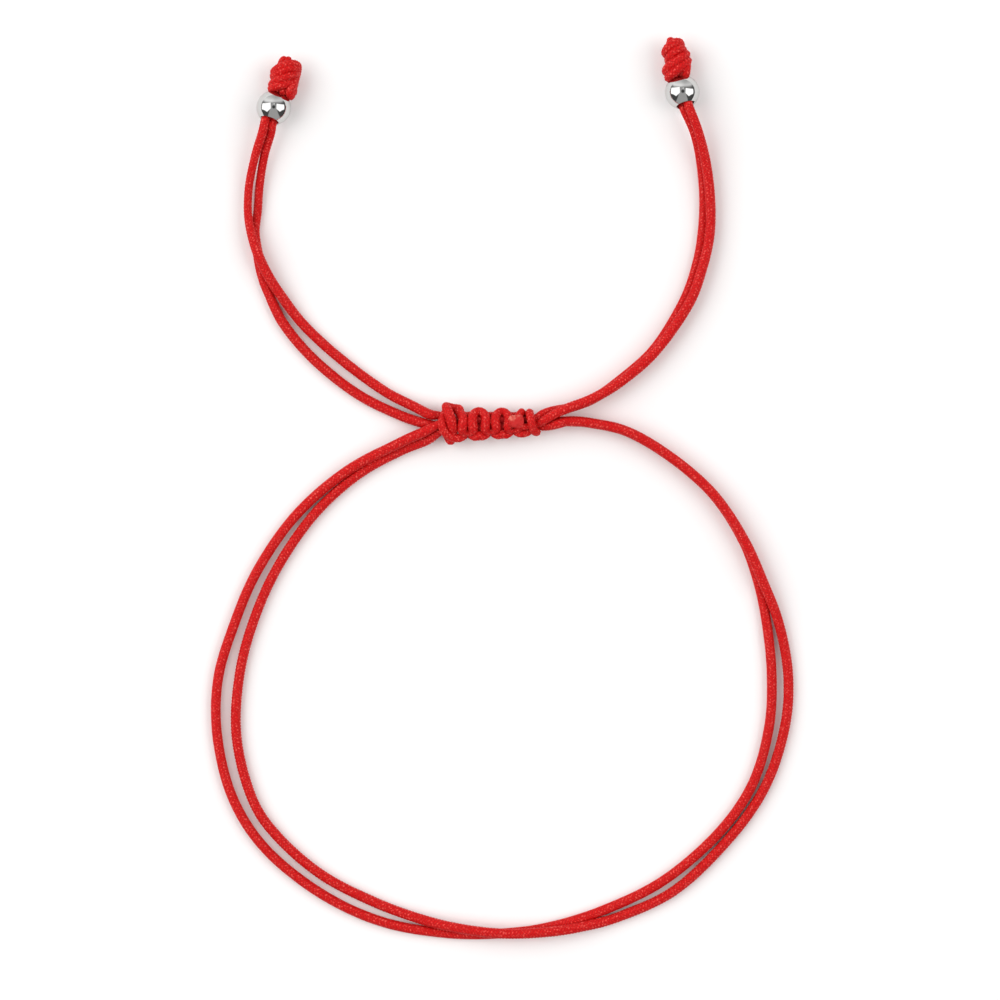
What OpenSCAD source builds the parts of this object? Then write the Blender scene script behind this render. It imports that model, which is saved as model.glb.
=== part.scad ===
// Adjustable cord bracelet, lying on the plane Z = 0, in millimetres with +Z up.
// Two braided cords run side by side: from the left stopper knot through the left bead, along the
// left tail and through the sliding knot, then clockwise round the wrist opening, through the
// sliding knot again and along the right tail to the right bead and its stopper knot.
// The origin is the middle of the wrist opening, on the plane that the bracelet lies on.

/* [Cord] */
// Diameter of the two braided cords
cord_d = 1.1; // [1:0.02:1.12]
// Diameter of a cord where the sliding knot squeezes it
cord_held_d = 0.7; // [0.64:0.01:0.72]
// Diameter of a cord inside a bead
cord_bead_d = 0.94; // [0.8:0.01:0.96]

/* [Beads] */
// Diameter of the round metal beads
bead_d = 4; // [3.9:0.02:4.1]
// Diameter of the hole through a bead
bore_d = 2.05; // [2:0.01:2.15]
// Width of the sloping rim at each end of the hole
bore_rim = 0.1; // [0.05:0.01:0.2]
// Slope of a bead's hole in degrees, down towards the stopper knot
bore_tilt = 18; // [15:1:19]

/* [Sliding knot] */
// Diameter of the tie cord where it lies free, in the side loops and the bars
tie_d = 0.86; // [0.7:0.01:0.86]
// Height of the middle of the knot above the plane
knot_z = 1.76; // [1.74:0.01:1.85]
// Distance from the middle of the knot to the middle of each of the four strands, each way
strand_offset = 0.38; // [0.37:0.01:0.39]

/* [Stopper knots] */
// Diameter of the wraps of a stopper knot
wrap_d = 0.98; // [0.9:0.01:1]
// Radius of the turn that the middle of a wrap takes
wrap_turn_r = 1.36; // [1.34:0.01:1.45]
// Distance that a wrap climbs in one turn
wrap_pitch = 2.08; // [2.04:0.01:2.2]

/* [Hidden] */

tube_sides = 8;
cord_r = cord_d / 2;
held_r = cord_held_d / 2;
cord_in_bead_r = cord_bead_d / 2;
bead_r = bead_d / 2;
// The rim slopes by 45 degrees from the hole's wall to the ball's surface
rim_z = sqrt(bead_r * bead_r - pow(bore_d / 2 + bore_rim, 2)) - bore_rim;

// The middle of the sliding knot rises a little to the right, and the knot grows slimmer
function knot_y(x) = 29.18 + 0.025 * x;
function knot_scale(x) = 0.91 - 0.022 * x;

// Beads: middle, and the angle that the hole leans from the Y axis, clockwise from above
bead_left_at = [-26.5, 65.4, bead_r];
bead_left_lean = 17.5;
bead_right_at = [20.4, 67.2, bead_r];
bead_right_lean = -14.5;

// The stretches of each cord that lie free, chosen by hand: x, y and z of the middle of the cord
first_left_tail = [
    [-28.0, 62.4, 2.6],
    [-28.8, 59.8, 1.9],
    [-29.3, 56.6, 1.3],
    [-29.4, 53.6, 1.4],
    [-29.1, 51.2, 1.66],
    [-28.4, 48.8, 1.72],
    [-27.4, 46.6, 1.62],
    [-26.0, 44.3, 1.2],
    [-23.2, 40.6, 0.65],
    [-19.0, 36.7, 0.56],
    [-14.0, 33.0, 0.7],
    [-10.4, 31.1, 1.05],
    [-8.6, 30.2, 1.35]];
second_left_tail = [
    [-26.9, 62.4, 2.15],
    [-27.7, 59.8, 1.4],
    [-28.2, 56.6, 0.8],
    [-28.5, 53.6, 0.56],
    [-28.7, 51.2, 0.56],
    [-28.4, 48.8, 0.56],
    [-28.0, 46.6, 0.56],
    [-27.2, 44.3, 0.56],
    [-25.4, 40.6, 0.56],
    [-21.9, 36.5, 0.56],
    [-17.0, 32.6, 0.56],
    [-12.0, 30.1, 0.75],
    [-8.6, 29.0, 1.05]];
first_loop = [
    [7.4, 29.4, 0.7],
    [10.0, 29.2, 0.56],
    [14.4, 28.1, 0.56],
    [19.5, 25.0, 0.56],
    [24.0, 21.0, 0.56],
    [27.3, 16.0, 0.56],
    [29.1, 11.2, 0.56],
    [30.2, 6.0, 0.56],
    [30.75, 0.0, 0.56],
    [30.4, -6.0, 0.56],
    [28.5, -12.4, 0.56],
    [24.6, -18.0, 0.56],
    [18.5, -23.3, 0.56],
    [12.0, -26.6, 0.56],
    [5.5, -28.7, 0.56],
    [-0.2, -29.5, 0.56],
    [-6.5, -29.5, 0.56],
    [-14.0, -28.2, 0.56],
    [-21.0, -25.0, 0.56],
    [-27.4, -19.9, 0.56],
    [-31.2, -14.1, 0.56],
    [-33.0, -7.2, 0.56],
    [-33.0, -0.5, 0.56],
    [-31.2, 5.8, 0.56],
    [-28.4, 12.3, 0.56],
    [-24.0, 18.6, 0.56],
    [-18.2, 23.65, 1.1],
    [-12.0, 26.95, 1.56],
    [-9.2, 28.2, 2.1]];
second_loop = [
    [7.4, 29.4, 1.88],
    [10.0, 29.2, 1.72],
    [14.4, 28.1, 1.72],
    [19.5, 25.0, 1.72],
    [24.0, 21.0, 1.72],
    [27.4, 16.0, 1.72],
    [29.6, 11.2, 1.62],
    [31.6, 6.0, 0.9],
    [32.65, 0.0, 0.56],
    [32.2, -6.0, 0.56],
    [30.0, -12.6, 0.56],
    [26.0, -18.4, 0.56],
    [19.8, -24.4, 0.56],
    [13.4, -27.5, 0.56],
    [8.6, -28.75, 1.25],
    [4.5, -29.3, 1.68],
    [-0.2, -29.45, 1.72],
    [-5.0, -28.9, 1.62],
    [-9.6, -27.85, 1.0],
    [-15.0, -25.9, 0.56],
    [-21.0, -22.8, 0.56],
    [-26.0, -18.5, 0.56],
    [-29.0, -14.1, 0.56],
    [-30.8, -7.2, 0.56],
    [-30.6, -0.5, 0.56],
    [-29.1, 5.8, 0.56],
    [-26.3, 12.3, 0.56],
    [-22.0, 18.6, 0.56],
    [-17.0, 23.2, 0.56],
    [-12.0, 26.0, 0.66],
    [-9.0, 27.2, 1.25]];
first_right_tail = [
    [7.4, 30.95, 1.35],
    [10.2, 32.0, 0.9],
    [13.35, 34.2, 0.62],
    [17.2, 37.7, 0.56],
    [20.42, 42.8, 0.56],
    [22.04, 47.1, 0.56],
    [22.77, 51.0, 0.56],
    [22.97, 55.0, 0.56],
    [22.64, 59.0, 0.8],
    [21.87, 62.4, 1.6]];
second_right_tail = [
    [7.4, 30.95, 2.5],
    [10.2, 32.05, 2.05],
    [13.5, 34.05, 1.8],
    [17.4, 37.5, 1.72],
    [21.13, 42.8, 1.6],
    [22.76, 47.1, 1.56],
    [23.6, 51.0, 1.42],
    [23.63, 55.0, 1.58],
    [23.14, 59.0, 1.86],
    [22.31, 62.4, 2.66]];

// Curves

function at(p, i) =
    i < 0 ? 2 * p[0] - p[1]
    : i > len(p) - 1 ? 2 * p[len(p) - 1] - p[len(p) - 2]
    : p[i];

// A point between p[i] and p[i + 1] on the smooth curve through all the points
function on_curve(p, i, t) =
    let (a = at(p, i - 1), b = p[i], c = p[i + 1], d = at(p, i + 2))
    (2 * b + (c - a) * t + (2 * a - 5 * b + 4 * c - d) * t * t
        + (3 * b - a - 3 * c + d) * t * t * t) / 2;

function smooth(p, steps) = [
    for (i = [0 : len(p) - 2], k = [0 : steps - 1]) on_curve(p, i, k / steps),
    p[len(p) - 1]];

function with_radius(p, r) = [for (q = p) [q.x, q.y, q.z, r]];
function reversed(p) = [for (i = [len(p) - 1 : -1 : 0]) p[i]];

// Tubes: each point of the route is x, y, z and the radius there

function unit(v) = v / norm(v);
function place(q) = [q.x, q.y, q.z];
function tangent(p, i) =
    unit(place(p[min(i + 1, len(p) - 1)]) - place(p[max(i - 1, 0)]));
function square_to(u, t) = unit(u - (u * t) * t);
function first_normal(t) = square_to(abs(t.z) < 0.9 ? [0, 0, 1] : [1, 0, 0], t);

// One normal for each ring, carried along the route without twisting
function normals(p) = [
    for (i = 0, u = first_normal(tangent(p, 0));
         i < len(p);
         i = i + 1, u = i < len(p) ? square_to(u, tangent(p, i)) : u) u];

module tube(p, sides = tube_sides) {
    count = len(p);
    ups = normals(p);
    points = [
        for (i = [0 : count - 1])
            let (t = tangent(p, i), u = ups[i], v = cross(t, u))
            for (k = [0 : sides - 1])
                let (a = 360 * k / sides)
                place(p[i]) + p[i][3] * (cos(a) * u + sin(a) * v)];
    walls = [
        for (i = [0 : count - 2], k = [0 : sides - 1])
            let (a = i * sides + k, b = i * sides + (k + 1) % sides)
            each [[a, a + sides, b], [b, a + sides, b + sides]]];
    ends = [
        [for (k = [0 : sides - 1]) k],
        [for (k = [sides - 1 : -1 : 0]) (count - 1) * sides + k]];
    polyhedron(points, concat(walls, ends), convexity = 10);
}

// Places on a bead's axis: t along the hole, away from the tail, and the angle and radius round it

function axis_of(lean, tilt) = [sin(lean) * cos(tilt), cos(lean) * cos(tilt), -sin(tilt)];
function aside_of(lean) = [cos(lean), -sin(lean), 0];
function up_of(lean, tilt) = [sin(lean) * sin(tilt), cos(lean) * sin(tilt), cos(tilt)];
function round_axis(middle, lean, tilt, t, turn, away) =
    middle + t * axis_of(lean, tilt)
    + away * (cos(turn) * aside_of(lean) + sin(turn) * up_of(lean, tilt));

bead_strand_away = 0.5;
bead_end_t = 1.72;
knot_start_t = 2.0;
bead_top_r = 0.36;

// A strand through a bead, from the tail's side to the stopper knot's side, and the angles round
// the hole where it goes in and where it comes out
function through_bead(middle, lean, turn, turn_out) = [
    for (row = [
            [-bead_end_t - 0.35, 0.02, 0],
            [-bead_end_t + 0.1, 0, 0],
            [0, 0, 0.5],
            [bead_end_t - 0.1, 0, 1],
            [knot_start_t - 0.05, 0, 1]])
        concat(round_axis(middle, lean, bore_tilt, row[0], turn + (turn_out - turn) * row[2],
                          bead_strand_away + row[1]),
               row[0] > bead_end_t ? bead_top_r : cord_in_bead_r)];

// Strands through the sliding knot: side of its middle that each lies on, in y and in z
function held(x, y_side, z_side) =
    let (k = knot_scale(x))
    [x, knot_y(x) + y_side * strand_offset * k, knot_z + z_side * strand_offset * k,
     held_r * k];
function through_knot(y_side, z_side) = [
    for (x = [-6.2, -4.4, -1.4, 1.4, 3.7]) held(x, y_side, z_side)];

// Between the knot and the free stretches: x, y, z and radius
first_knot_in = [-7.5, 30.05, 1.3, 0.46];
second_knot_in = [-7.5, 28.9, 1.05, 0.46];
first_knot_back = [-7.4, 29.1, 2.32, 0.44];
second_knot_back = [-7.4, 28.15, 1.85, 0.42];

// To the right of the knot the four strands turn by a quarter round their middle as they spread
function leaving(turn) = [
    for (row = [
            [4.4, 29.32, -12, 0.6, 0.38],
            [5.3, 29.5, -40, 0.8, 0.47],
            [6.2, 29.8, -66, 0.94, 0.52]])
        [row[0], row[1] + row[3] * cos(turn + row[2]), 1.74 + row[3] * sin(turn + row[2]),
         row[4]]];

first_route = concat(
    reversed(through_bead(bead_left_at, bead_left_lean, 180, 180)),
    with_radius(first_left_tail, cord_r),
    [first_knot_in], through_knot(1, -1), leaving(-45),
    with_radius(first_loop, cord_r),
    [first_knot_back], through_knot(1, 1), leaving(45),
    with_radius(first_right_tail, cord_r),
    through_bead(bead_right_at, bead_right_lean, 235, 180));
second_route = concat(
    reversed(through_bead(bead_left_at, bead_left_lean, 0, 0)),
    with_radius(second_left_tail, cord_r),
    [second_knot_in], through_knot(-1, -1), leaving(-135),
    with_radius(second_loop, cord_r),
    [second_knot_back], through_knot(-1, 1), leaving(135),
    with_radius(second_right_tail, cord_r),
    through_bead(bead_right_at, bead_right_lean, 55, 0));

// Sliding knot: the middles of its square knots along the strands
square_knots = [-4.25, -1.6, 1.02];
tie_r = tie_d / 2;

// Half of a square knot, from the arch to the tight turn in its middle: along, across, height and
// radius. The front strand's two legs lie over the four strands and the back strand's under them.
front_half = [
    [-0.94, 1.36, 0.1, 0.42],
    [-0.64, 1.12, 0.68, 0.38],
    [-0.48, 0.62, 1.14, 0.38],
    [-0.46, 0.05, 1.2, 0.41],
    [-0.5, -0.42, 1.18, 0.4],
    [-0.45, -0.8, 1.02, 0.36],
    [-0.25, -1.0, 0.86, 0.33],
    [0, -1.05, 0.8, 0.32]];
back_half = [
    [-0.85, -1.54, 0.3, 0.42],
    [-0.55, -1.4, 0, 0.37],
    [-0.38, -1.16, -0.45, 0.32],
    [-0.4, -0.85, -0.98, 0.36],
    [-0.46, -0.35, -1.2, 0.4],
    [-0.46, 0.3, -1.2, 0.4],
    [-0.44, 0.75, -1.06, 0.36],
    [-0.25, 1.0, -0.86, 0.33],
    [0, 1.05, -0.8, 0.32]];
// Half way between two square knots: across, height and radius
front_arch = [1.5, -0.05, tie_r];
back_arch = [-1.6, 0.42, tie_r];

function tie_point(row) =
    let (k = knot_scale(row[0]))
    [row[0], knot_y(row[0]) + row[1] * k, knot_z + row[2] * k, row[3] * k];
function moved(row, x, turn) = tie_point([x + turn * row[0], row[1], row[2], row[3]]);
function square_knot(half, x) = concat(
    [for (row = half) moved(row, x, 1)],
    [for (i = [len(half) - 2 : -1 : 0]) moved(half[i], x, -1)]);
function arch_point(arch, i) =
    tie_point([(square_knots[i] + square_knots[i + 1]) / 2, arch[0], arch[1], arch[2]]);
function strand(half, arch) = [
    for (i = [0 : len(square_knots) - 1])
        each concat(square_knot(half, square_knots[i]),
                    i < len(square_knots) - 1 ? [arch_point(arch, i)] : [])];

// The first turns of the tie cord, from the back strand's arch to the front strand's
tie_start = [
    [-5.2, -1.6, 0.42, tie_r],
    [-5.85, -1.83, 0.45, 0.4],
    [-6.45, -1.5, 0.8, 0.4],
    [-6.88, -0.85, 1.2, 0.39],
    [-7.08, -0.1, 1.36, 0.39],
    [-7.15, 0.65, 1.3, 0.37],
    [-7.2, 1.3, 0.98, 0.33],
    [-7.16, 1.74, 0.35, 0.31],
    [-7.05, 1.74, -0.35, 0.31],
    [-6.9, 1.36, -0.95, 0.32],
    [-6.75, 0.6, -1.25, 0.34],
    [-6.58, -0.05, -1.27, 0.36],
    [-6.44, -0.62, -1.17, 0.35],
    [-6.2, -1.0, -0.77, 0.32],
    [-5.98, -1.12, -0.2, 0.3],
    [-5.82, -1.08, 0.35, 0.3],
    [-5.8, -0.8, 1.0, 0.34],
    [-5.93, -0.3, 1.2, 0.4],
    [-6.08, 0.3, 1.25, 0.42],
    [-6.27, 0.95, 1.12, 0.42],
    [-6.38, 1.52, 0.9, 0.41],
    [-6.36, 1.92, 0.35, 0.4],
    [-6.28, 1.96, -0.2, 0.38],
    [-5.88, 1.82, -0.42, 0.39],
    [-5.3, 1.62, -0.25, 0.41]];
// The last turns: the front strand winds once more round all four and ends behind, the back
// strand comes up beside it to the melted end
front_end = [
    [1.86, 1.48, 0.05, 0.4],
    [2.25, 1.25, -0.4, 0.36],
    [2.42, 0.72, -1.08, 0.36],
    [2.72, -0.2, -1.24, 0.38],
    [3.2, -0.92, -1.0, 0.37],
    [3.62, -1.3, -0.5, 0.36],
    [3.76, -1.4, 0, 0.38],
    [3.6, -1.3, 0.58, 0.4],
    [3.35, -0.88, 1.08, 0.4],
    [3.14, -0.3, 1.28, 0.42],
    [3.02, 0.25, 1.26, 0.42],
    [2.92, 0.75, 1.12, 0.41],
    [2.86, 1.18, 0.72, 0.4],
    [2.88, 1.4, 0.05, 0.4],
    [3.08, 1.12, -0.7, 0.34]];
back_end = [
    [2.0, -1.58, 0.42, tie_r],
    [2.55, -1.4, 0.6, 0.37],
    [2.6, -0.95, 1.0, 0.34],
    [2.4, -0.5, 1.28, 0.36],
    [2.2, -0.2, 1.42, 0.36]];
tie_route = concat(
    reversed(concat(strand(back_half, back_arch), [for (row = back_end) tie_point(row)])),
    [for (row = tie_start) tie_point(row)],
    strand(front_half, front_arch), [for (row = front_end) tie_point(row)]);
// The melted end: its middle, and half of its width, depth and height
melted_at = [1.36, 29.42, 3.3];
melted_half = [0.92, 0.78, 0.42];

// Stopper knots: both strands of a pair go up through the middle, wrap down side by side round
// themselves and go up through the middle again to their cut ends.
wrap_r = wrap_d / 2;
core_r = 0.33;
core_away = 0.5;
// Rows of turn, distance along the axis, distance from it and radius
function knotted(bead_turn) =
    let (top = knot_start_t + 2.9, turns = 1.29, steps = 12, lead = bead_turn + 45)
    concat(
        [[bead_turn, knot_start_t, bead_strand_away, bead_top_r],
         [bead_turn, knot_start_t + 0.3, core_away, 0.3],
         [bead_turn, knot_start_t + 0.7, core_away, 0.3],
         [bead_turn, knot_start_t + 1.4, core_away, core_r],
         [bead_turn, top - 0.6, core_away, core_r],
         [lead - 38, top, core_away + 0.12, 0.36],
         [lead - 8, top + 0.22, 1.0, 0.43]],
        [for (k = [0 : steps])
            [lead + 20 + 360 * turns * k / steps, top - wrap_pitch * turns * k / steps,
             wrap_turn_r, wrap_r]],
        [[lead + 508, top - wrap_pitch * turns + 0.05, 1.18, 0.33],
         [lead + 540, top - wrap_pitch * turns + 0.08, 0.84, 0.28],
         [lead + 572, top - wrap_pitch * turns + 0.35, 0.58, 0.28],
         [lead + 585, top - wrap_pitch * turns + 0.9, core_away, core_r],
         [lead + 585, top - 0.6, core_away, core_r],
         [lead + 585, top + 0.3, core_away, 0.34],
         [lead + 585, top + 0.9, core_away + 0.05, 0.42],
         [lead + 585, top + 1.2, core_away + 0.05, 0.42]]);
function knot_route(middle, lean, bead_turn) = [
    for (row = knotted(bead_turn))
        concat(round_axis(middle, lean, 0, row[1], row[0], row[2]), row[3])];

left_knot_routes = [for (k = [0, 180]) knot_route(bead_left_at, bead_left_lean, k)];
right_knot_routes = [for (k = [0, 180]) knot_route(bead_right_at, bead_right_lean, k)];

cord_colour = "crimson";
metal_colour = "lightgray";

module first_cord() { color(cord_colour) tube(smooth(first_route, 1)); }
module second_cord() { color(cord_colour) tube(smooth(second_route, 1)); }
module sliding_knot() {
    color("firebrick") {
        tube(smooth(tie_route, 2));
        translate(melted_at) scale(melted_half) sphere(1, $fn = 24);
    }
}
module end_knot_left() { color("firebrick") for (r = left_knot_routes) tube(smooth(r, 2)); }
module end_knot_right() { color("firebrick") for (r = right_knot_routes) tube(smooth(r, 2)); }

module bead(middle, lean) {
    color(metal_colour)
        translate(middle) rotate([0, 0, -lean]) rotate([-90 - bore_tilt, 0, 0])
            difference() {
                sphere(d = bead_d, $fn = 96);
                cylinder(d = bore_d, h = bead_d, center = true, $fn = 64);
                for (end = [-1, 1])
                    mirror([0, 0, end < 0 ? 1 : 0])
                        translate([0, 0, rim_z])
                            cylinder(d1 = bore_d, d2 = bore_d + 1, h = 0.5, $fn = 64);
            }
}
module bead_left() { bead(bead_left_at, bead_left_lean); }
module bead_right() { bead(bead_right_at, bead_right_lean); }

first_cord();
second_cord();
sliding_knot();
bead_left();
bead_right();
end_knot_left();
end_knot_right();
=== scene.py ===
import math

import bpy
import numpy as np
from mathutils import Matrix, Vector, noise


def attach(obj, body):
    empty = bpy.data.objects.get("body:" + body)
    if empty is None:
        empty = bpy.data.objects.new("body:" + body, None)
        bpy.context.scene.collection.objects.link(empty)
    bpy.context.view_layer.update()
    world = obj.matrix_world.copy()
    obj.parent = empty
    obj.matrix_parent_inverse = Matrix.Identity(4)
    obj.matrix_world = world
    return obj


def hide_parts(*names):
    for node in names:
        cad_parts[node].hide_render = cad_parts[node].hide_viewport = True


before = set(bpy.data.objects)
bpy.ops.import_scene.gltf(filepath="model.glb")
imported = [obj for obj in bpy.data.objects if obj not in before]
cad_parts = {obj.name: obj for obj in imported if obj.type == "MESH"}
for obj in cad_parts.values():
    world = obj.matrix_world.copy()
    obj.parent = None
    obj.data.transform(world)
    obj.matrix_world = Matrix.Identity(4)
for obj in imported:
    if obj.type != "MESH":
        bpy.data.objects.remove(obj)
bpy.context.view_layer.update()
mm = 0.001
print("frame loaded")


# Camera, straight above as in the photo
cameraSettings = {
    "middle": (-0.52, 20.36),  # point in the centre of the picture, mm
    "height": 620,             # mm above the floor
    "width": 115.0,            # width of the picture at the cords' height, mm
    "cordHeight": 1,           # mm above the floor
    "sensor": 36,              # mm
    "clipStart": 0.01,         # m
}
bpy.ops.object.camera_add(location=(cameraSettings["middle"][0] * mm,
                                    cameraSettings["middle"][1] * mm,
                                    cameraSettings["height"] * mm))
camera = bpy.context.object
camera.name = "camera"
viewDistance = cameraSettings["height"] - cameraSettings["cordHeight"]
camera.data.sensor_width = cameraSettings["sensor"]
camera.data.lens = cameraSettings["sensor"] * viewDistance / cameraSettings["width"]
camera.data.clip_start = cameraSettings["clipStart"]
bpy.context.scene.camera = camera


# Shader nodes: each input gets a value or another node's output
def fill(node, inputs):
    for slot, value in dict(inputs).items():
        if isinstance(value, bpy.types.NodeSocket):
            node.id_data.links.new(value, node.inputs[slot])
        else:
            node.inputs[slot].default_value = value


def nodeTools(tree):
    def add(kind, inputs=(), **settings):
        node = tree.nodes.new("ShaderNode" + kind)
        for key, value in settings.items():
            setattr(node, key, value)
        fill(node, inputs)
        return node

    def calc(operation, *values):
        return add("Math", enumerate(values), operation=operation).outputs[0]

    def mix(under, over, mask, kind="FLOAT"):
        inputs = {"A": under, "B": over, "Factor": mask}
        return add("Mix", inputs, data_type=kind).outputs["Result"]

    return add, calc, mix


def newMaterial(name):
    material = bpy.data.materials.new(name)
    material.use_nodes = True
    return material, material.node_tree.nodes["Principled BSDF"]


# Floor and light
studio = {
    "floorSize": 4,   # m
    "floorColour": (0.93, 0.925, 0.92, 1),
    "floorRoughness": 0.9,
    "floorSpecular": 0.1,
    "backdrop": 0.93,
    # name, direction, distance and size in mm, watts
    "softboxes": [
        ("softbox_left", (-0.74, 0.10, 0.66), 700, (760, 720), 1.8),
        ("softbox_right", (0.74, 0.08, 0.66), 720, (700, 700), 1.2),
    ],
}
bpy.ops.mesh.primitive_plane_add(size=studio["floorSize"], location=(0, 0, 0))
floor = bpy.context.object
floor.name = "floor"
paper, paperShader = newMaterial("paper")
fill(paperShader, {"Base Color": studio["floorColour"],
                   "Roughness": studio["floorRoughness"],
                   "Specular IOR Level": studio["floorSpecular"]})
floor.data.materials.append(paper)

for name, direction, distance, size, watts in studio["softboxes"]:
    bpy.ops.object.light_add(type="AREA", location=Vector(direction).normalized() * distance * mm)
    light = bpy.context.object
    light.name = name
    light.data.shape = "RECTANGLE"
    light.data.size = size[0] * mm
    light.data.size_y = size[1] * mm
    light.data.energy = watts
    light.visible_glossy = False
    away = -light.location.normalized()
    light.rotation_euler = away.to_track_quat("-Z", "Y").to_euler()


# The room that the steel reflects: dark, a pale wall behind, a window on each side, the camera
# above. Places are directions from the bracelet: x to the right, y away and z up. An edge has a
# start and an end. A line has a start, slopes with |x| and with y, and what the right side adds
room = {
    "dark": 0.085,
    "wall": {
        "foot": 0.46,
        "near": 1.2,
        "far": 0.72,
        "right": 0.74,   # part of the wall's light that is left on the right
        "nearFrom": (0.44, 0.66),
        "farFrom": (0.66, 1.0),
        "rightFrom": (-0.25, 0.3),
        "line": (-0.44, 0.12, 1.0),
        "edge": (0.0, 0.05),
        "ends": (0.98, 0.72),
    },
    "strip": {
        "grey": 0.49,
        "line": (-0.2, 1.0, 0.25),
        "edge": (0.2, 0.08),
        "end": (0.5, 0.42),
    },
    "window": {
        "grey": 1.8,
        "top": (0.56, -0.2, -1.0, -0.1),
        "topEdge": (-0.03, 0.03),
        "sides": ((-0.30, 1.0, 0.0, -0.05), (-0.12, 0.88, 1.0), (1.1, -0.96, 1.0)),
        "sideEdge": (-0.04, 0.04),
        "sill": (0.08, 0.16),
        "rightSill": 0.1,   # how much higher the sill is on the right
    },
    "lamp": {"grey": 0.98, "middle": (0.08, 0.37), "edge": (0.12, 0.03)},
    "lens": {"grey": 0.07, "middle": (0.04, 0.02), "edge": (0.26, 0.12)},
}
world = bpy.data.worlds.new("studio")
bpy.context.scene.world = world
world.use_nodes = True
add, calc, mix = nodeTools(world.node_tree)
outward = add("TexCoord").outputs["Generated"]
axes = add("SeparateXYZ", {0: outward})
x, y, z = (axes.outputs[axis] for axis in "XYZ")
aside = calc("ABSOLUTE", x)
onRight = calc("GREATER_THAN", x, 0.0)


def ramp(value, edge, low=0.0, high=1.0):
    inputs = {"Value": value, "From Min": edge[0], "From Max": edge[1], "To Min": low, "To Max": high}
    return add("MapRange", inputs, interpolation_type="SMOOTHSTEP").outputs[0]


def line(start, slopeX, slopeY, rightMore=0.0):
    value = calc("ADD", calc("MULTIPLY", aside, slopeX), calc("MULTIPLY", y, slopeY))
    return calc("ADD", calc("ADD", value, start), calc("MULTIPLY", onRight, rightMore))


def spot(x, y, edge):
    middle = (x, y, math.sqrt(1 - x * x - y * y))
    distance = add("VectorMath", {0: outward, 1: middle}, operation="DISTANCE")
    return ramp(distance.outputs["Value"], edge)


def roomGrey():
    wall, strip, window = room["wall"], room["strip"], room["window"]
    near = ramp(y, wall["nearFrom"], wall["foot"], wall["near"])
    wallLight = mix(near, wall["far"], ramp(y, wall["farFrom"]))
    wallLight = calc("MULTIPLY", wallLight, ramp(x, wall["rightFrom"], 1.0, wall["right"]))
    inWall = calc("MULTIPLY", ramp(line(*wall["line"]), wall["edge"]), ramp(aside, wall["ends"]))
    grey = mix(room["dark"], wallLight, inWall)
    inStrip = calc("MULTIPLY", ramp(line(*strip["line"]), strip["edge"]), ramp(y, strip["end"]))
    grey = mix(grey, strip["grey"], inStrip)
    # each window is flat on top and comes down to a blunt point
    inWindow = ramp(line(*window["top"]), window["topEdge"])
    for side in window["sides"]:
        inWindow = calc("MULTIPLY", inWindow, ramp(line(*side), window["sideEdge"]))
    overSill = calc("SUBTRACT", z, calc("MULTIPLY", onRight, window["rightSill"]))
    inWindow = calc("MULTIPLY", inWindow, ramp(overSill, window["sill"]))
    grey = mix(grey, window["grey"], inWindow)
    for name in ("lamp", "lens"):
        grey = mix(grey, room[name]["grey"], spot(*room[name]["middle"], room[name]["edge"]))
    return grey


seen = add("LightPath").outputs["Is Camera Ray"]
fill(world.node_tree.nodes["Background"], {"Color": mix(roomGrey(), studio["backdrop"], seen)})
bpy.context.scene.view_settings.view_transform = "Standard"
bpy.context.scene.view_settings.look = "None"
print("camera, floor and lights made")


# Routes, in mm: x, y and z of a cord's middle, the part's own points. In the left tail, which the
# photo shows stretched thinner, they are moved by up to 0.2 mm and have a radius of their own
cordSettings = {
    "radius": 0.60,
    "heldRadius": 0.50,   # in the sliding knot
    "beadRadius": 0.54,   # in a bead
    "sides": 24,
    "ringGap": 0.09,
    "pathStep": 6,        # counted in rings
    "seed": 11,
}
firstLeftTail = [
    [-27.8, 62.4, 2.65, 0.55], [-28.65, 59.8, 1.95, 0.51], [-29.35, 56.6, 1.3, 0.49],
    [-29.5, 53.6, 1.4, 0.49], [-29.15, 51.2, 1.66, 0.53], [-28.4, 48.8, 1.72], [-27.4, 46.6, 1.62],
    [-26.0, 44.3, 1.2], [-23.2, 40.6, 0.65], [-19.0, 36.7, 0.56], [-14.0, 33.0, 0.7],
    [-10.4, 31.1, 1.05], [-8.6, 30.2, 1.35], [-7.5, 30.05, 1.3, 0.5]]
secondLeftTail = [
    [-26.88, 62.4, 2.0, 0.55], [-27.64, 59.8, 1.4, 0.52], [-28.18, 56.6, 0.8, 0.51],
    [-28.42, 53.6, 0.58, 0.52], [-28.7, 51.2, 0.56, 0.55], [-28.4, 48.8, 0.56], [-28.0, 46.6, 0.56],
    [-27.2, 44.3, 0.56], [-25.4, 40.6, 0.56], [-21.9, 36.5, 0.56], [-17.0, 32.6, 0.56],
    [-12.0, 30.1, 0.75], [-8.6, 29.0, 1.05], [-7.5, 28.9, 1.05, 0.5]]
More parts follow.
